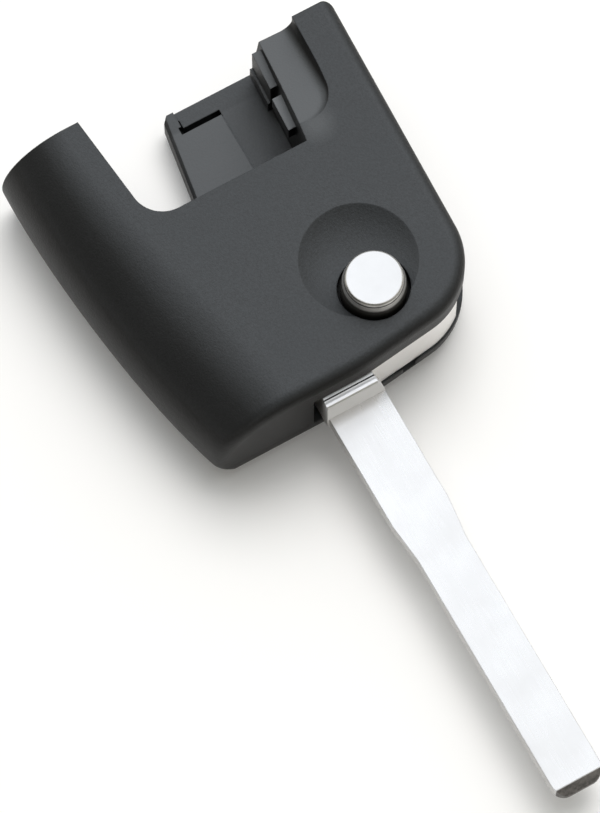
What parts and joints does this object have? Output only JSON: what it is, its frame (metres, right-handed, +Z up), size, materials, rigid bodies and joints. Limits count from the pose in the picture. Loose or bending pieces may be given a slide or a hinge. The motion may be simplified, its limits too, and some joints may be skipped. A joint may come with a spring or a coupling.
{
  "type": "flip key head",
  "caption": "Head of a folding car key: black fob shell with a spring-loaded uncut blade, a round release button and a bay for the remote module.",
  "frame": {"origin": "on the back face, under the axis that the blade swings about", "axes": "+Z up out of the face with the button, +Y towards the open end that takes the remote module, the blade points to -Y"},
  "size_m": [0.04, 0.0874, 0.0164],
  "materials": {
    "shell_plastic": "fine spark texture",
    "blade_steel": "satin nickel",
    "hub_metal": "satin cast and plated",
    "button_metal": "satin chrome",
    "bush_plastic": "natural acetal",
    "plunger_plastic": "plain moulded",
    "spring_steel": "drawn wire",
    "screw_steel": "black oxide",
    "chip_plastic": "moulded epoxy",
    "soft_rubber": "soft foam rubber"
  },
  "bodies": {
    "housing": {"upper_shell": "shell_plastic", "lower_shell": "shell_plastic", "shell_screws": "screw_steel", "upper_bush": "bush_plastic", "lower_bush": "bush_plastic", "spring_anchor": "hub_metal", "flip_spring": "spring_steel", "chip_holder": "plunger_plastic", "coded_chip": "chip_plastic", "chip_pad": "soft_rubber", "blade_buffer": "soft_rubber"},
    "blade_group": {"blade_hub": "hub_metal", "key_blade": "blade_steel", "blade_pin": "spring_steel", "stop_pin": "spring_steel"},
    "button_group": {"button_cap": "button_metal", "button_plunger": "plunger_plastic", "lock_plate": "spring_steel", "plunger_clip": "spring_steel", "button_spring": "spring_steel"}
  },
  "joints": [
    {"name": "blade_flip", "type": "hinge", "parent": "housing", "child": "blade_group", "pos_m": [0, 0, 0.007], "axis": [0, 0, 1], "range_deg": [0, 180], "stiffness_Nm_per_rad": 0.0095, "springref_deg": -120.32, "deforming": ["flip_spring"]},
    {"name": "button_press", "type": "slide", "parent": "blade_group", "child": "button_group", "axis": [0, 0, -1], "range_m": [0, 0.0018], "stiffness_N_per_m": 900, "springref_m": -0.002, "deforming": ["button_spring"]}
  ]
}
